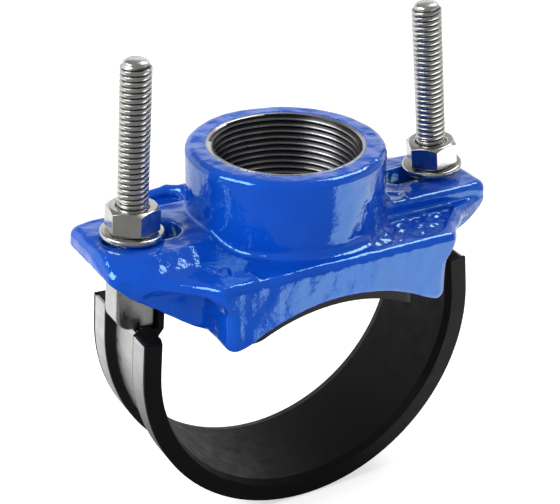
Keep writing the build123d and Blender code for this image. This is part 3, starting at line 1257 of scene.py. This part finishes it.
@dataclass
class Strap:
    """The rubber-lined band with its end blocks, with lengths in millimetres."""

    finishes: dict[Finish, Material]
    stance: Stance
    pipe_radius: float = 66.2
    width: float = 49.0
    lining_thickness: float = 3.3
    band_thickness: float = 1.5
    edge_cover: float = 1.1
    floor_width: float = 21.0
    groove_depth: float = 3.5
    groove_slope: float = 2.5
    groove_bend: float = 1.2
    flange_run: float = 12.4
    tail_run: float = 14.0
    block_depth: float = 17.0
    block_width: float = 12.0
    block_length: float = 20.8
    block_start: float = 10.2
    block_corner: float = 1.6
    block_foot: float = 7.0
    block_round: float = 0.7
    block_gap: float = 2.5
    spacing: float = 1.5
    body_rows: int = 150
    tail_rows: int = 12

    @property
    def band_outer(self) -> float:
        """The outer radius of the band's flanges."""
        return self.pipe_radius + self.lining_thickness + self.groove_depth + self.band_thickness

    def _along(self, radius: Array, across: Array, run: Array) -> Array:
        """Points on the strap's path.

        Args:
            radius: the points' radii from the pipe axis.
            across: their places along the pipe.
            run: their places along the path, in millimetres at the band's outside, from
                the bottom of the bend and negative to the left.

        Returns:
            The points in the row frame.
        """
        half = math.pi / 2.0 + self.stance.lean
        scale = self.band_outer
        arc = np.clip(run, -half * scale, half * scale)
        past = run - arc
        x = radius * np.sin(arc / scale) + np.abs(past) * np.cos(half) * np.sign(past)
        z = -radius * np.cos(arc / scale) + np.abs(past) * np.sin(half)
        c, s = math.cos(self.stance.swing), math.sin(self.stance.swing)
        return np.stack([x * c - z * s, across, x * s + z * c], axis=-1)

    def _swept(self, section: Sequence[Pair], end: Field) -> tuple[Array, Faces]:
        """Carries a closed section round the strap.

        Args:
            section: the outline as (radius, across), counter-clockwise.
            end: gives how far up the straight end the piece goes, from the place across.

        Returns:
            The points, one outline after another, and the faces.
        """
        radii, across = np.array(section, float).T
        half = (math.pi / 2.0 + self.stance.lean) * self.band_outer
        reach = half - self.tail_run
        stops = end(across) + half
        body = np.linspace(-reach, reach, self.body_rows)
        tail = reach + np.linspace(0.0, 1.0, self.tail_rows + 1)[1:, None] * (stops - reach)
        runs = np.concatenate([-tail[::-1], np.tile(body[:, None], (1, len(section))), tail])
        verts = np.concatenate([self._along(radii, across, row) for row in runs])
        faces = sleeve(len(runs), len(section))
        return verts, faces + self._end_caps(len(section), len(runs))

    @staticmethod
    def _end_caps(count: int, rows: int) -> Faces:
        """Quads that close a swept section whose two halves mirror one another in depth."""
        faces = []
        for row in (0, rows - 1):
            base = row * count
            for i in range(count // 2 - 1):
                quad = [base + i, base + i + 1, base + count - 2 - i, base + count - 1 - i]
                faces.append(quad if row else quad[::-1])
        return faces

    def _lines(self, radius: float, edge: float) -> list[Pair]:
        """The groove's line across the strap, from one edge to the other, with soft bends."""
        foot, bend = self.floor_width / 2.0, self.groove_bend
        knots = [
            (radius, edge, 0.0),
            (radius, foot + self.groove_slope, bend),
            (radius - self.groove_depth, foot, bend),
            (radius - self.groove_depth, -foot, bend),
            (radius, -foot - self.groove_slope, bend),
            (radius, -edge, 0.0),
        ]
        line = rounded_loop(knots, 5)
        dense: list[Pair] = []
        for (ar, ay), (br, by) in zip(line[:-1], line[1:]):
            parts = max(1, int(round(math.hypot(br - ar, by - ay) / self.spacing)))
            for k in range(parts):
                dense.append((ar + (br - ar) * k / parts, ay + (by - ay) * k / parts))
        return dense + line[-1:]

    def build_band(self) -> Object:
        """Rolls the steel band, which stops short of the blocks with two flanges beside them."""
        edge = self.width / 2.0 - self.edge_cover
        room = self.block_width / 2.0 + self.block_gap
        outer = self._lines(self.band_outer, edge)
        inner = self._lines(self.band_outer - self.band_thickness, edge)
        section = outer + inner[::-1]

        def end(across: Array) -> Array:
            """The flanges' ends, with the room between them for a block."""
            wide = np.clip((np.abs(across) - room) / 1.5, 0.0, 1.0)
            return self.block_start + (self.flange_run - self.block_start) * wide

        verts, faces = self._swept(section, end)
        # Painted shade: the groove's sloping walls get a high groove value, so the strap steel
        # darkens them.
        reach = np.abs(np.array(section)[:, 1])
        half = self.groove_slope / 2.0
        wall = np.clip(2.1 - np.abs(reach - self.floor_width / 2.0 - half) / half, 0.0, 1.0)
        shade = np.tile(wall, len(verts) // len(section))
        finish = self.finishes[Finish.SHEET_STEEL]
        piece = new_piece("steel_band", verts, faces, finish, 0.001, shade)
        add_bevel(piece, 0.25, 40.0)
        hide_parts("strap_band")
        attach(piece, Body.STRAP.value)
        return piece

    def build_block(self, side: Side) -> Object:
        """Forges an end block with a rounded foot."""
        depth, width, length = self.block_depth / 2.0, self.block_width / 2.0, self.block_length
        foot = lifted(self.stance.on_stud(side, side.word + "_stud"), -STUD_LENGTH / 2.0 - length)

        def field(p: Array) -> Array:
            """The distance to the block in its own axes, with X outwards and Z up."""
            x, y, z = p[..., 0], p[..., 1], p[..., 2]
            plan = box_plan(x, y, depth, width, self.block_corner)
            front = round_meet(x - depth, -z, self.block_foot)
            body = round_meet(plan, np.maximum(front, -z), self.block_round)
            return round_meet(body, z - length, self.block_round)

        sculptor = Sculptor(field, (-depth, -width, 0.0), (depth, width, length), 0.6)
        name, finish = side.word + "_end_block", self.finishes[Finish.BLOCK_STEEL]
        piece = sculptor.carve(name, finish, lambda points: placed(points, foot))
        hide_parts(side.word + "_strap_block")
        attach(piece, Body.STRAP.value)
        return piece

    def build(self) -> None:
        """Builds every piece of the strap."""
        lining = dress("strap_lining", self.finishes[Finish.LINER])
        add_bevel(lining, 0.35, 35.0)
        report(self.build_band(), lining, *map(self.build_block, Side))


# ---------------------------------------------------------------- the studio


@dataclass
class Studio:
    """A white sweep, soft lamps and the camera.

    Angles are in degrees, the camera's distance and shifts in millimetres, and the floor's
    spans in metres. Each span goes from where a ramp is 0 to where it is 1.
    """

    azimuth: float = -29.59
    elevation: float = 27.17
    roll: float = 0.99
    distance: float = 622.8
    across: float = 1.56
    up: float = -25.76
    lens: float = 96.57
    wall_level: float = 1.2
    beside_share: float = 0.55
    dim_level: float = 0.3
    fill_level: float = 0.38
    wall_behind: Pair = (-0.05, 0.45)
    wall_beside: Pair = (0.35, 0.75)
    wall_low: Pair = (0.60, 0.34)
    floor_size: float = 6.0
    floor_drop: float = 0.6
    floor_color: float = 0.8
    floor_roughness: float = 0.9
    floor_glow: float = 0.5
    floor_behind: Pair = (0.02, 0.16)
    patch_slant: float = 0.85
    patch_edge: Pair = (-0.135, -0.10)
    patch_left: Pair = (0.02, 0.08)
    patch_right: Pair = (0.6, 0.3)
    patch_back: Pair = (0.02, -0.1)
    raggedness: float = 0.22
    mirror_gain: float = 0.55
    mirror_base: float = 0.22
    behind_glow: float = 0.35
    patch_glow: float = 1.7

    def build_camera(self) -> None:
        """Sets the camera at the viewing angle."""
        a, e, roll = map(math.radians, (self.azimuth, self.elevation, self.roll))
        back = Vector((math.sin(a) * math.cos(e), -math.cos(a) * math.cos(e), math.sin(e)))
        right = Vector((math.cos(a), math.sin(a), 0.0))
        above = back.cross(right)
        side = right * math.cos(roll) + above * math.sin(roll)
        top = above * math.cos(roll) - right * math.sin(roll)
        data = bpy.data.cameras.new("camera")
        data.lens = self.lens
        data.sensor_width = 36.0
        data.clip_start = 0.01
        data.clip_end = 50.0
        camera = bpy.data.objects.new("camera", data)
        camera.matrix_world = Matrix((side, top, back)).transposed().to_4x4()
        camera.location = (back * self.distance - side * self.across - top * self.up) * MM
        bpy.context.scene.collection.objects.link(camera)
        bpy.context.scene.camera = camera

    @staticmethod
    def build_lamp(name: str, place: Triple, size: Pair, power: float) -> Object:
        """Hangs a soft box that points at the object.

        Args:
            name: the lamp's name.
            place: where it hangs, in metres.
            size: its width and height, in metres.
            power: its power in watts.

        Returns:
            The lamp.
        """
        data = bpy.data.lights.new(name, "AREA")
        data.shape = "RECTANGLE"
        data.size, data.size_y = size
        data.energy = power
        lamp = bpy.data.objects.new(name, data)
        lamp.location = place
        lamp.rotation_mode = "QUATERNION"
        aim = Vector((0.0, 0.0, 0.02)) - Vector(place)
        lamp.rotation_quaternion = aim.to_track_quat("-Z", "Y")
        bpy.context.scene.collection.objects.link(lamp)
        return lamp

    @staticmethod
    def by_ray(tree: Tree, seen: float, mirrored: Level, lit: float) -> Socket:
        """A level that depends on the ray: looked at, mirrored in a gloss, or lighting a surface.

        Args:
            tree: the node tree.
            seen: the level for camera and transmission rays.
            mirrored: the level for glossy rays.
            lit: the level for all others.

        Returns:
            The level's socket.
        """
        path = add_node(tree, "LightPath", {}).outputs
        look = join("MAXIMUM", path["Is Camera Ray"], path["Is Transmission Ray"])
        return mix(look, mix(path["Is Glossy Ray"], lit, mirrored), seen)

    def build_world(self) -> None:
        """A white surround to look at, bright behind and beside the object and dim overhead."""
        world = bpy.data.worlds.new("studio")
        bpy.context.scene.world = world
        world.use_nodes = True
        tree = world.node_tree
        way = axes_of(add_node(tree, "TexCoord", {}).outputs["Generated"])
        beside = times(ramp(way["X"], *self.wall_beside), self.beside_share)
        wall = join("MAXIMUM", ramp(way["Y"], *self.wall_behind), beside)
        wall = times(wall, ramp(way["Z"], *self.wall_low))
        mirrored = join("MAXIMUM", times(wall, self.wall_level), self.dim_level)
        strength = self.by_ray(tree, 1.0, mirrored, self.fill_level)
        feed(tree.nodes["Background"], {"Strength": strength, "Color": WHITE})

    def build_floor(self) -> None:
        """A wide pale floor that keeps the object's shadow.

        In reflections it is dim in front, but for a ragged bright patch at the right.
        """
        size = self.floor_size / MM
        level = CAD_BOUNDS[0].z / MM - self.floor_drop
        plan = ((-1, -1), (1, -1), (1, 1), (-1, 1))
        verts = np.array([(x * size, y * size, level) for x, y in plan])
        material, shader = shader_of("pale_floor")
        tree = material.node_tree
        where = place_in(tree)
        axes = axes_of(where)
        x, y = axes["X"], axes["Y"]
        behind = ramp(y, *self.floor_behind)
        ragged = join("SUBTRACT", noise(where, 32.0, 5.0, 0.7), 0.5)
        slant = join("ADD", x, times(y, self.patch_slant))
        slant = join("ADD", slant, times(ragged, self.raggedness))
        patch = times(ramp(slant, *self.patch_edge), ramp(x, *self.patch_left))
        lit = times(join("MAXIMUM", behind, patch), self.mirror_gain)
        mirrored = join("ADD", lit, self.mirror_base)
        near = times(times(patch, ramp(x, *self.patch_right)), ramp(y, *self.patch_back))
        glow = join("MAXIMUM", times(behind, self.behind_glow), times(near, self.patch_glow))
        inputs = {
            "Base Color": self.by_ray(tree, self.floor_color, mirrored, self.floor_color),
            "Roughness": self.floor_roughness,
            "Specular IOR Level": 0.0,
            "Emission Color": WHITE,
            "Emission Strength": self.by_ray(tree, self.floor_glow, glow, 0.0),
        }
        feed(shader, inputs)
        floor = new_piece("floor", verts, [[0, 1, 2, 3]], material)

    def build(self) -> None:
        """Builds the whole studio."""
        bpy.context.scene.view_settings.view_transform = "Standard"
        self.build_camera()
        self.build_world()
        self.build_floor()
        self.build_lamp("left_box", (-0.80, 0.05, 0.60), (0.7, 0.42), 8.0)
        self.build_lamp("right_box", (0.55, 0.18, 0.82), (0.42, 0.42), 4.2)
        fill = self.build_lamp("front_fill", (-0.25, -1.2, 0.35), (1.2, 0.8), 7.0)
        fill.visible_glossy = False
        LOG.info("studio built")


# ---------------------------------------------------------------- all of it


def main() -> None:
    """Builds the studio, the strap, the fasteners and the casting."""
    logging.basicConfig(level=logging.INFO, format="%(message)s", stream=sys.stdout)
    Studio().build()
    effects = EffectLibrary()
    finishes = {finish: finish.value.build(effects) for finish in Finish}
    stance = Stance.from_record()
    Strap(finishes, stance).build()
    Fasteners(finishes, stance).build()
    SaddleCasting(finishes).build()


if __name__ == "__main__":
    main()
